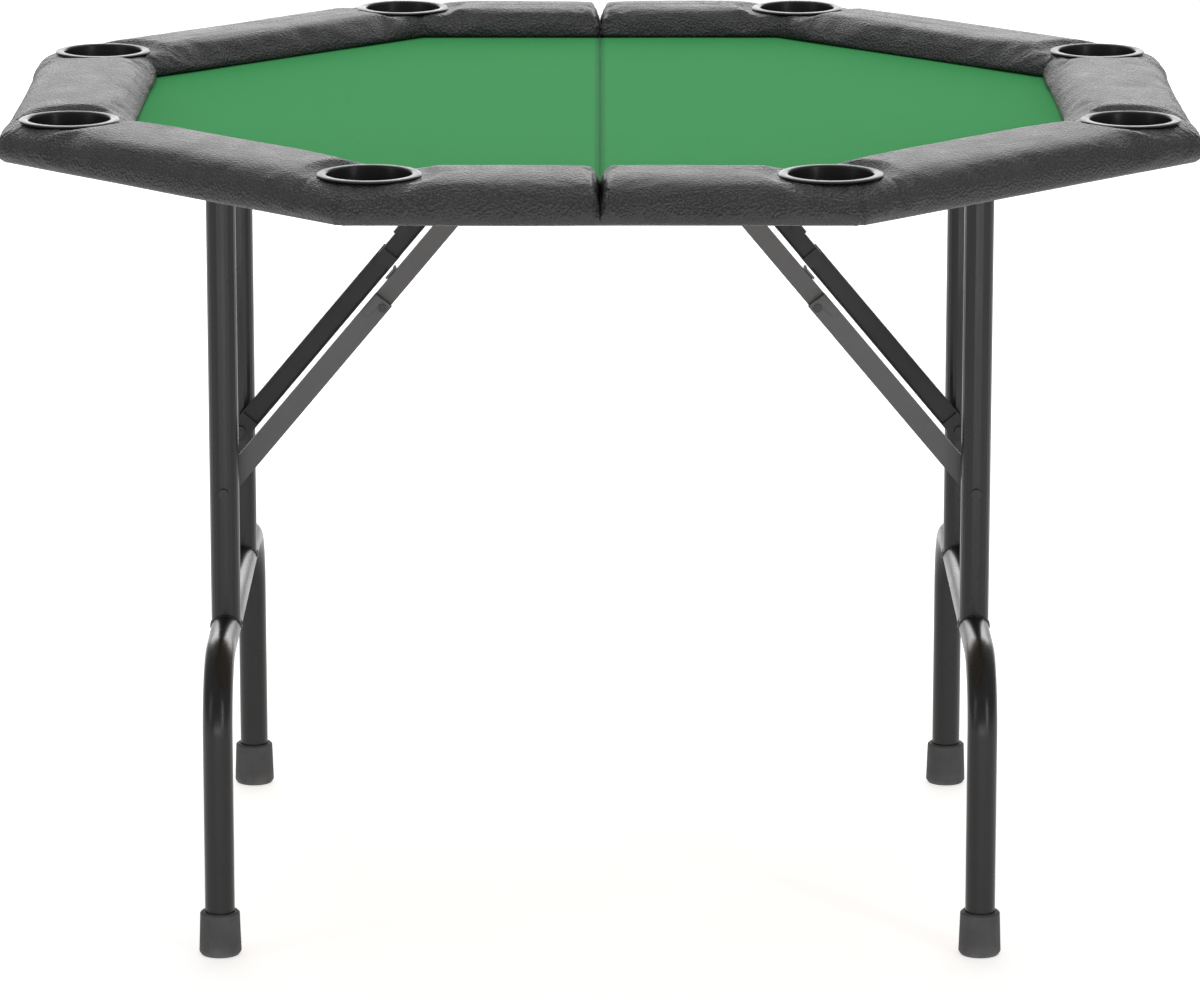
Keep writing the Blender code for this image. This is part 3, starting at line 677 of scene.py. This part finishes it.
def add_creases(obj, name):
    """Mitre creases, puckers at the corners and at the seam, and slight waves along the sides."""
    side = SIDES[name]
    mesh = obj.data
    co = coordinates(mesh)
    normals = np.empty(len(mesh.vertices) * 3)
    mesh.vertices.foreach_get("normal", normals)
    normals = normals.reshape(-1, 3)
    q, apothem = path_place(co, side)
    z = co[:, 2]
    skin = (z > TUCKED_Z + 0.0006) | (apothem > 0.5318)
    corner = (np.abs(q % 1 - 0.5)) * 2 * apothem * TAN_EIGHTH
    outer = ease((apothem - 0.515) / 0.015)
    inner = ease((0.462 - apothem) / 0.02)
    below_crown = ease((0.7455 - z) / 0.006)
    depth = -MITRE_OUTSIDE * hump(corner, 0.0016) * outer * below_crown
    depth += MITRE_LIP * hump(corner - 0.0042, 0.0018) * outer * below_crown
    depth -= MITRE_INSIDE * hump(corner, 0.0018) * inner
    fan = np.sin(np.arctan2(apothem - 0.450, corner + 0.004) * 9 + 2.1 * np.floor(q) + side)
    depth += FAN_FOLDS * fan * hump(corner, 0.024) * hump(apothem - 0.438, 0.014)
    from_end = np.abs(co[:, 0])
    sample = np.column_stack([co[:, 1] * 30, z * 260, from_end * 60])
    pucker = ripple(sample, 4.7 * side)
    depth += SEAM_PUCKERS * pucker * hump(from_end, 0.016) * ease((z - 0.724) / 0.006)
    along = np.column_stack([q * 2.2, apothem * 95, z * 95])
    rear = ease((q - 1.8) / 1.0)
    depth += (LONG_FOLDS + REAR_FOLDS * rear) * ripple(along, 11.3 * side)
    wide = np.column_stack([co[:, 0] * 9, co[:, 1] * 9, z * 9])
    depth += WIDE_WAVES * ripple(wide, 2.9 * side)
    away = nearest_cup(co, cup_places(name))
    calm = ease((away - 0.043) / 0.008)
    flat_end = ease((from_end - 0.0005) / 0.0035)
    co += normals * (depth * skin * calm * flat_end)[:, None]
    set_coordinates(mesh, co)


def cut_cups(obj, cups):
    """Cuts the holes that the cups drop into."""
    points, faces = [], []
    low, high = BOARD_LOW.z - 0.02, CUP_HIGH.z + 0.02
    profile = [(0, high), (CUP_HOLE_RADIUS, high), (CUP_HOLE_RADIUS, low), (0, low)]
    for c in cups:
        lathe(points, faces, profile, (c.x, c.y), HOLE_STEPS)
    cutter = make_object("cup_cutter", points, faces, LEATHERETTE)
    face_outwards(cutter)
    change = obj.modifiers.new("cups", "BOOLEAN")
    change.operation = "DIFFERENCE"
    change.solver = "EXACT"
    change.object = cutter
    apply_modifiers(obj)
    bpy.data.objects.remove(cutter, do_unlink=True)


def make_rails():
    """The padded rails of both halves, blown up together, creased and cut for the cups."""
    pads = []
    for name in SIDES:
        obj, skin = rail_mesh(name)
        co = coordinates(obj.data)
        cups = cup_places(name)
        press_under_cups(co, cups)
        set_coordinates(obj.data, co)
        away = nearest_cup(co, cups)
        held = ~skin | (co[:, 2] < BOTTOM_PIN_Z) | (away < PRESS_RADIUS)
        held |= (co[:, 2] < TUCKED_Z + 0.0004) & (np.hypot(co[:, 0], co[:, 1]) < 0.5)
        held |= np.abs(co[:, 0]) < HELD_AT_SEAM
        pads.append((obj, held))
    blow_up(pads)
    for (obj, _), name in zip(pads, SIDES):
        cups = cup_places(name)
        finer = obj.modifiers.new("finer", "SUBSURF")
        finer.levels = finer.render_levels = 1
        apply_modifiers(obj)
        add_creases(obj, name)
        co = coordinates(obj.data)
        press_under_cups(co, cups)
        inside = co[:, 0] * SIDES[name] < END_PLANE
        co[inside, 0] = END_PLANE * SIDES[name]
        set_coordinates(obj.data, co)
        cut_cups(obj, cups)
        obj.data.shade_smooth()
        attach(obj, f"{name}_half")
        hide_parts(f"{name}_rail")


# ---- felt ----
FELT_TOP = FELT_HIGH.z
FELT_CUT = FELT_EDGE + FELT_TUCK
FELT_CLOTH = 0.0012
SEAM_ROUND_X, SEAM_ROUND_Z = 0.0042, 0.0019
SEAM_PLANE, SEAM_CLOTH = 0.000004, 0.00030
SKIRT_BOTTOM = BOARD_LOW.z + 0.0002
FELT_WAVE = 0.00010
FELT_ROWS = 90


def make_felt(name):
    """One half of the felt, cut as half an octagon, with its edge turned down into the seam."""
    side = SIDES[name]
    corner = FELT_CUT * TAN_EIGHTH
    xs = [SEAM_PLANE, SEAM_PLANE]
    xs += [0.0001, 0.0003, 0.0007, 0.0012, 0.0020, 0.0030, 0.0042, 0.0060, 0.0100]
    xs += list(np.linspace(0.0100, corner, 24)[1:]) + list(np.linspace(corner, FELT_CUT, 33)[1:])
    rows = FELT_ROWS
    top, bottom = [], []
    for column, x in enumerate(xs):
        reach = min(FELT_CUT, FELT_CUT * math.sqrt(2) - x)
        drop = 0.0
        from_seam = x - xs[0]
        if from_seam < SEAM_ROUND_X:
            share = (SEAM_ROUND_X - from_seam) / SEAM_ROUND_X
            drop = SEAM_ROUND_Z * (1 - math.sqrt(max(1 - share * share, 0)))
        for k in range(rows + 1):
            y = reach * (2 * k / rows - 1)
            wave = FELT_WAVE * noise.noise((x * 11 * side, y * 11, 3.1))
            z = FELT_TOP - FELT_WAVE - drop + wave
            under_z = max(z - FELT_CLOTH, BOARD_HIGH.z + 0.0001)
            if column == 0:
                z = under_z = SKIRT_BOTTOM
            top.append((x * side, y, z))
            bottom.append((max(x, SEAM_PLANE + SEAM_CLOTH) * side, y, under_z))
    count, width = len(xs), rows + 1
    under = count * width
    faces = []
    for i in range(count - 1):
        for k in range(rows):
            a, b = i * width + k, (i + 1) * width + k
            faces.append((a, b, b + 1, a + 1))
            faces.append((under + a, under + a + 1, under + b + 1, under + b))
    rim = [i * width for i in range(count)] + [(count - 1) * width + k for k in range(1, width)]
    rim += [i * width + rows for i in range(count - 2, -1, -1)] + [k for k in range(rows - 1, 0, -1)]
    for a, b in zip(rim, rim[1:] + rim[:1]):
        faces.append((a, under + a, under + b, b))
    obj = make_object(f"{name}_felt_cloth", top + bottom, faces, FELT)
    face_outwards(obj)
    keep_sharp(obj, 60)
    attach(obj, f"{name}_half")
    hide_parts(f"{name}_felt")


def make_seam_band(name):
    """The strips of leatherette glued down the board's sawn edge under the rail's two ends."""
    side = SIDES[name]
    bm = bmesh.new()
    low_z, high_z = BOARD_LOW.z + 0.0001, BOARD_HIGH.z - 0.0001
    for end in ENDS.values():
        near, far = FELT_CUT + 0.0002, BOARD_EDGE - 0.0005
        length, tall = far - near, high_z - low_z
        middle = (side * (SEAM_PLANE + SEAM_CLOTH / 2), end * (near + far) / 2, (low_z + high_z) / 2)
        shape = Matrix.Translation(middle) @ Matrix.Diagonal((SEAM_CLOTH, length, tall, 1))
        made = bmesh.ops.create_cube(bm, size=1.0, matrix=shape)["verts"]
        edges = [e for e in bm.edges if e.verts[0] in made and abs(e.verts[0].co.z - e.verts[1].co.z) > 1e-5]
        bmesh.ops.bevel(bm, geom=edges, offset=SEAM_CLOTH * 0.3, segments=2, profile=0.5, affect="EDGES")
    obj = from_bmesh(f"{name}_seam_band", bm, LEATHERETTE)
    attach(obj, f"{name}_half")


# ---- cup holders ----
CUP_STEPS = 72
CUP_WALL = 0.0015
CUP_TOP = CUP_HIGH.z
CUP_BOTTOM = CUP_LOW.z


def make_cup(name, number):
    """A drop-in cup: a thin moulded well with a flat flange and a rounded lip."""
    middle = middle_of(f"{name}_cup_{number}")
    floor = CUP_BOTTOM + CUP_WALL
    profile = [
        (0, floor),
        (0.0130, floor),
        (0.0136, floor + 0.0004),
        (0.0146, floor + 0.0004),
        (0.0152, floor),
        (0.0318, floor),
        (0.0340, floor + 0.0007),
        (0.0353, floor + 0.0022),
        (0.0357, floor + 0.0045),
        (0.0366, CUP_TOP - 0.0022),
        (0.0368, CUP_TOP - 0.0012),
        (0.0374, CUP_TOP - 0.0004),
        (0.0383, CUP_TOP),
        (0.0420, CUP_TOP),
        (0.0438, CUP_TOP - 0.0002),
        (0.0447, CUP_TOP - 0.0006),
        (FLANGE_RADIUS, CUP_TOP - 0.0012),
        (FLANGE_RADIUS - 0.0003, CUP_TOP - 0.0018),
        (0.0420, CUP_TOP - 0.0019),
        (0.0382, CUP_TOP - 0.0019),
        (0.0380, CUP_TOP - 0.0030),
        (0.0372, floor + 0.0020),
        (0.0355, floor - 0.0009),
        (0.0330, CUP_BOTTOM),
        (0, CUP_BOTTOM),
    ]
    points, faces = [], []
    lathe(points, faces, profile, (middle.x, middle.y), CUP_STEPS)
    obj = make_object(f"{name}_cup_{number}_moulded", points, faces, CUP_PLASTIC)
    face_outwards(obj)
    keep_sharp(obj, 50)
    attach(obj, f"{name}_half")
    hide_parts(f"{name}_cup_{number}")


# ---- leg frames ----
LEG_LOW, LEG_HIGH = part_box("right_leg_frame")
LEG_X = (LEG_LOW.x + LEG_HIGH.x) / 2
TUBE_RADIUS = (LEG_HIGH.x - LEG_LOW.x) / 2
FOOT_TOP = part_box("right_rear_foot")[1].z + 0.002
FOOT_Y = middle_of("right_rear_foot").y
PIVOT_Z = middle_of("right_pivot_tube").z
UPRIGHT_Y = middle_of("right_rear_upright").y
CROSSBAR_Z = LEG_HIGH.z - TUBE_RADIUS
BEND_RADIUS = 0.065
SPLAY = math.radians(1.0)
BEND_STEPS = 36
TUBE_STEPS = 48
BEAD_RADIUS = 0.0011
BEAD_STEPS = 8
WELD_STEPS = 72


def tube(name, path, radius, finish):
    """A closed round tube along a path in a plane of constant X."""
    points, faces = [], []
    path = [Vector(p) for p in path]
    across = Vector((1, 0, 0))
    for i, p in enumerate(path):
        along = (path[min(i + 1, len(path) - 1)] - path[max(i - 1, 0)]).normalized()
        out = across.cross(along)
        for k in range(TUBE_STEPS):
            turn = 2 * math.pi * k / TUBE_STEPS
            points.append(p + (across * math.cos(turn) + out * math.sin(turn)) * radius)
    for i in range(len(path) - 1):
        for k in range(TUBE_STEPS):
            after = (k + 1) % TUBE_STEPS
            a, b = i * TUBE_STEPS, (i + 1) * TUBE_STEPS
            faces.append((a + k, a + after, b + after, b + k))
    last = (len(path) - 1) * TUBE_STEPS
    faces.append(tuple(range(TUBE_STEPS))[::-1])
    faces.append(tuple(last + k for k in range(TUBE_STEPS)))
    obj = make_object(name, points, faces, finish)
    keep_sharp(obj, 50)
    return obj


def make_leg_tube(name):
    """The bent tube of one leg unit: two lower legs and the crossbar, with long smooth bends."""
    x = SIDES[name] * LEG_X
    half = [(FOOT_Y, LEG_LOW.z), (FOOT_Y, FOOT_TOP)]
    setback = BEND_RADIUS * math.tan((math.pi / 2 - SPLAY) / 2)
    knee_y = FOOT_Y - (CROSSBAR_Z - FOOT_TOP) * math.tan(SPLAY)
    centre = (knee_y - setback, CROSSBAR_Z - BEND_RADIUS)
    for k in range(BEND_STEPS + 1):
        angle = -SPLAY + (math.pi / 2 + SPLAY) * k / BEND_STEPS
        half.append((centre[0] + BEND_RADIUS * math.cos(angle), centre[1] + BEND_RADIUS * math.sin(angle)))
    route = [(x, -y, z) for y, z in half] + [(x, y, z) for y, z in reversed(half)]
    obj = tube(f"{name}_leg_tube", route, TUBE_RADIUS, POWDER_COAT)
    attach(obj, f"{name}_leg")
    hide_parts(f"{name}_leg_frame")


def bead(points, faces, route, seed):
    """Adds a closed, slightly lumpy weld bead round a closed route."""
    start, steps = len(points), BEAD_STEPS
    count = len(route)
    for i, p in enumerate(route):
        along = (route[(i + 1) % count] - route[i - 1]).normalized()
        side = along.cross(Vector((0.31, 0.22, 0.93))).normalized()
        up = along.cross(side)
        lump = 1 + 0.22 * math.sin(i * 2.1 + seed) + 0.15 * noise.noise((i * 0.7, seed, 0.0))
        for k in range(steps):
            turn = 2 * math.pi * k / steps
            points.append(p + (side * math.cos(turn) + up * math.sin(turn)) * BEAD_RADIUS * lump)
    for i in range(count):
        for k in range(steps):
            a, b = start + i * steps, start + ((i + 1) % count) * steps
            after = (k + 1) % steps
            faces.append((a + k, a + after, b + after, b + k))


def make_welds(name):
    """Weld beads where the uprights meet the crossbar and the pivot tube."""
    x = SIDES[name] * LEG_X
    points, faces = [], []
    reach = TUBE_RADIUS + 0.0004
    for end in ENDS.values():
        for z, way in ((CROSSBAR_Z, 1), (PIVOT_Z, -1)):
            route = []
            for k in range(WELD_STEPS):
                turn = 2 * math.pi * k / WELD_STEPS
                rise = way * abs(reach * math.cos(turn)) * 0.98
                y = end * UPRIGHT_Y + reach * math.cos(turn)
                route.append(Vector((x + reach * math.sin(turn), y, z + rise)))
            bead(points, faces, route, end + z * 10 + x)
    obj = make_object(f"{name}_leg_welds", points, faces, POWDER_COAT)
    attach(obj, f"{name}_leg")


# ---- braces, screws and staples ----
BRACE_SLOPE = 0.838
LINK_WIDTH, LINK_LIP = 0.0192, 0.0066
TAB_WIDTH, TAB_LENGTH, TAB_HEIGHT, TAB_SUNK = 0.0088, 0.0225, 0.0011, 0.0003
TAB_STEPS = 16
SCREW_STEPS = 28
SCREW_RINGS = [0.0, 0.16, 0.3, 0.44, 0.6, 0.8, 0.94, 1.0, 1.0]
CROSS_REACH, CROSS_WIDTH = 0.55, 0.13
DOWN = Vector((0, 0, -1))
# Screw heads as (radius, height), and brackets as (distance to each screw, flange thickness).
BRACKET_HEAD, HINGE_HEAD = (0.0036, 0.0016), (0.0033, 0.0006)
BRACKET_SCREWS = {"leg_bracket": (0.027, 0.0022), "brace_bracket": (0.017, 0.0023)}
HINGE_SCREW_X, HINGE_SCREW_STEP, HINGE_LEAF_THICKNESS = 0.0185, 0.021, 0.0016
STAPLES, STAPLE_END, STAPLE_TILT = 56, 0.06, 0.20
STAPLE_LINE, STAPLE_Z = 0.5110, 0.7142
STAPLE_SIZE = (0.0100, 0.0011, 0.0006, 1)


def brace_lines(name, end):
    """A brace's knee point, its upward direction and the way to its upper edge."""
    side = SIDES[name]
    low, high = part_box(f"{name}_{end}_lower_link")
    outer = high.y if ENDS[end] > 0 else low.y
    foot_z = middle_of(f"{name}_{end}_brace_bolt").z
    rise = PIVOT_Z - foot_z
    run = BRACE_SLOPE * rise
    span = math.hypot(rise, run)
    direction = Vector((-side * run / span, 0, rise / span))
    knee = Vector((side * LEG_X, outer, foot_z)) + direction * (span + rise - run) / 2
    above = Vector((side * direction.z, 0, -side * direction.x))
    return knee, direction, above


def make_link_tab(name, end):
    """The raised half-round tongue pressed out of the lower link's face beside the knee."""
    knee, direction, above = brace_lines(name, end)
    out = Vector((0, ENDS[end], 0))
    middle = knee + above * (LINK_WIDTH / 2 - TAB_WIDTH / 2 - 0.0003)
    outline = [(LINK_LIP - 0.0002, TAB_WIDTH / 2), (LINK_LIP - 0.0002, -TAB_WIDTH / 2)]
    bottom = LINK_LIP - TAB_LENGTH + TAB_WIDTH / 2
    for k in range(TAB_STEPS + 1):
        turn = math.pi * k / TAB_STEPS
        outline.append((bottom - math.sin(turn) * TAB_WIDTH / 2, -math.cos(turn) * TAB_WIDTH / 2))
    bm = bmesh.new()
    base = [bm.verts.new(middle + direction * a + above * b - out * TAB_SUNK) for a, b in outline]
    face = bm.faces.new(base)
    raised = bmesh.ops.extrude_face_region(bm, geom=[face])["geom"]
    top = [v for v in raised if isinstance(v, bmesh.types.BMVert)]
    bmesh.ops.translate(bm, vec=out * (TAB_HEIGHT + TAB_SUNK), verts=top)
    rim = [e for e in bm.edges if e.verts[0] in top and e.verts[1] in top]
    bmesh.ops.bevel(bm, geom=rim, offset=0.0005, segments=3, profile=0.5, affect="EDGES")
    obj = from_bmesh(f"{name}_{end}_link_tab", bm, BRACE_COAT)
    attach(obj, f"{name}_{end}_lower_link")


def screw_head(points, faces, centre, radius, height, turn):
    """Adds a domed screw head with a cross recess, facing down."""
    start = len(points)
    right = DOWN.orthogonal().normalized()
    ahead = DOWN.cross(right)
    rings = SCREW_RINGS
    for i, share in enumerate(rings):
        for k in range(SCREW_STEPS if i else 1):
            angle = 2 * math.pi * k / SCREW_STEPS
            rise = height * math.sqrt(max(1 - (share * 0.93) ** 2, 0)) if i < len(rings) - 1 else -0.0004
            slot_x = abs(math.cos(angle + turn)) * share
            slot_y = abs(math.sin(angle + turn)) * share
            if share < CROSS_REACH and min(slot_x, slot_y) < CROSS_WIDTH:
                rise -= height * 0.55
            offset = right * math.cos(angle) * share + ahead * math.sin(angle) * share
            points.append(centre + offset * radius + DOWN * rise)
    for k in range(SCREW_STEPS):
        after = (k + 1) % SCREW_STEPS
        faces.append((start, start + 1 + k, start + 1 + after))
        for i in range(len(rings) - 2):
            a, b = start + 1 + i * SCREW_STEPS, start + 1 + (i + 1) * SCREW_STEPS
            faces.append((a + k, b + k, b + after, a + after))
    last = start + 1 + (len(rings) - 2) * SCREW_STEPS
    faces.append(tuple(last + k for k in range(SCREW_STEPS))[::-1])


def make_screws(name):
    """Screws through the leg brackets, the brace brackets and the hinge leaves of one half."""
    points, faces = [], []
    under = BOARD_LOW.z - GAP
    turn = 0.3
    for end in ENDS:
        for node, (reach, flange) in BRACKET_SCREWS.items():
            middle = middle_of(f"{name}_{end}_{node}")
            for way in (-1, 1):
                spot = Vector((middle.x + way * reach, middle.y, under - flange))
                screw_head(points, faces, spot, *BRACKET_HEAD, turn)
                turn += 0.9
        y = middle_of(f"{end}_hinge_leaf_{name}").y
        for k in (-1, 0, 1):
            z = under - HINGE_LEAF_THICKNESS
            spot = Vector((SIDES[name] * HINGE_SCREW_X, y + k * HINGE_SCREW_STEP, z))
            screw_head(points, faces, spot, *HINGE_HEAD, turn)
            turn += 0.7
    obj = make_object(f"{name}_half_screws", points, faces, DARK_ZINC)
    keep_sharp(obj, 40)
    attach(obj, f"{name}_half")


def make_staples(name):
    """Wire staples through the leatherette that is wrapped under the board's edge."""
    side = SIDES[name]
    bm = bmesh.new()
    for k in range(STAPLES):
        q = STAPLE_END + (4 - 2 * STAPLE_END) * k / (STAPLES - 1)
        here = Vector(rail_point(q, STAPLE_LINE, STAPLE_Z))
        ahead = Vector(rail_point(min(q + 0.01, 4), STAPLE_LINE, STAPLE_Z))
        back = Vector(rail_point(max(q - 0.01, 0), STAPLE_LINE, STAPLE_Z))
        along = (ahead - back).normalized()
        here.x *= side
        along.x *= side
        skew = STAPLE_TILT * noise.noise((k * 1.7, side * 3.0, 0.5))
        angle = math.atan2(along.y, along.x) + skew
        turned = Matrix.Rotation(angle, 4, "Z") @ Matrix.Diagonal(STAPLE_SIZE)
        shape = Matrix.Translation(here + DOWN * 0.0002) @ turned
        bmesh.ops.create_cube(bm, size=1.0, matrix=shape)
    bmesh.ops.bevel(bm, geom=bm.edges[:], offset=0.00018, segments=2, profile=0.5, affect="EDGES")
    obj = from_bmesh(f"{name}_rail_staples", bm, ZINC)
    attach(obj, f"{name}_half")


# ---- carried-over CAD nodes ----
def finish_frame():
    """Gives every shown CAD node its material."""
    endings = {
        "board": FIBREBOARD,
        "foot": RUBBER,
        "knee_rivet": POWDER_COAT,
        "brace_bolt": POWDER_COAT,
        "lower_link": BRACE_COAT,
        "upper_link": BRACE_COAT,
        "brace_release": BRACE_COAT,
        "hinge_pin": ZINC,
        "hinge_leaf_left": ZINC,
        "hinge_leaf_right": ZINC,
    }
    for name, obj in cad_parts.items():
        finish = next((m for ending, m in endings.items() if name.endswith(ending)), POWDER_COAT)
        obj.data.materials.clear()
        obj.data.materials.append(finish)


# ---- floor, lights and camera ----
FLOOR_REACH = 30.0
ROOM_LIGHT, WHITE_BACKDROP = 0.40, 1.0
CAMERA_BACK, CAMERA_HEIGHT = 5.771, 1.687
CAMERA_PITCH = 13.003
LENS_MM, SENSOR_MM = 189.24, 36.0


def make_floor():
    made, tree, shader = new_material(
        "studio_floor",
        Roughness=0.85,
        Specular_IOR_Level=0.1,
        Emission_Color=(1.0, 1.0, 1.0, 1.0),
        Emission_Strength=0.55,
    )
    tone = cloud(tree, place(tree), 0.35, 2.0)
    drive(tree, shader, "Base Color", blended(tree, tone, (0.86, 0.86, 0.86), (0.885, 0.885, 0.885)))
    points = [(x * FLOOR_REACH, y * FLOOR_REACH, 0) for x, y in ((-1, -1), (1, -1), (1, 1), (-1, 1))]
    floor = make_object("studio_floor", points, [(0, 1, 2, 3)], made)


def area_light(name, spot, target, size, power):
    data = bpy.data.lights.new(name, "AREA")
    data.shape = "RECTANGLE"
    data.size, data.size_y = size
    data.energy = power
    obj = bpy.data.objects.new(name, data)
    bpy.context.scene.collection.objects.link(obj)
    obj.location = spot
    obj.rotation_euler = (Vector(target) - Vector(spot)).to_track_quat("-Z", "Y").to_euler()


def make_studio():
    make_floor()
    area_light("overhead", (0.0, 0.9, 3.4), (0, 0, 0.5), (3.4, 2.6), 36)
    area_light("behind", (0.0, 5.2, 2.0), (0, 0, 0.7), (6.0, 2.4), 125)
    area_light("front_right", (2.6, -3.4, 1.3), (0, 0, 0.45), (0.5, 2.4), 26)
    area_light("front_low", (0.0, -3.6, 0.15), (0, 0, 0.72), (3.6, 0.35), 22)
    area_light("front_left", (-3.6, -2.4, 1.6), (0, 0, 0.5), (1.2, 2.0), 12)
    # The room lights the table dimly, and the camera sees it as white.
    world = bpy.data.worlds.new("studio")
    world.use_nodes = True
    tree = world.node_tree
    back = tree.nodes["Background"]
    back.inputs["Color"].default_value = (1.0, 1.0, 1.0, 1.0)
    seen = add(tree, "ShaderNodeLightPath").outputs["Is Camera Ray"]
    drive(tree, back, "Strength", spread(tree, seen, 0.0, 1.0, ROOM_LIGHT, WHITE_BACKDROP))
    scene = bpy.context.scene
    scene.world = world
    scene.view_settings.view_transform = "Standard"


def make_camera():
    data = bpy.data.cameras.new("camera")
    data.lens = LENS_MM
    data.sensor_width = SENSOR_MM
    obj = bpy.data.objects.new("camera", data)
    bpy.context.scene.collection.objects.link(obj)
    obj.location = (0.0, -CAMERA_BACK, CAMERA_HEIGHT)
    obj.rotation_euler = (math.radians(90 - CAMERA_PITCH), 0.0, 0.0)
    data.clip_end = 100.0
    bpy.context.scene.camera = obj


# ---- everything, in order ----
finish_frame()
make_rails()
for half_name in SIDES:
    make_felt(half_name)
    make_seam_band(half_name)
    make_leg_tube(half_name)
    make_welds(half_name)
    make_screws(half_name)
    make_staples(half_name)
    for end_name in ENDS:
        make_link_tab(half_name, end_name)
    for cup_number in range(1, 5):
        make_cup(half_name, cup_number)
make_studio()
make_camera()
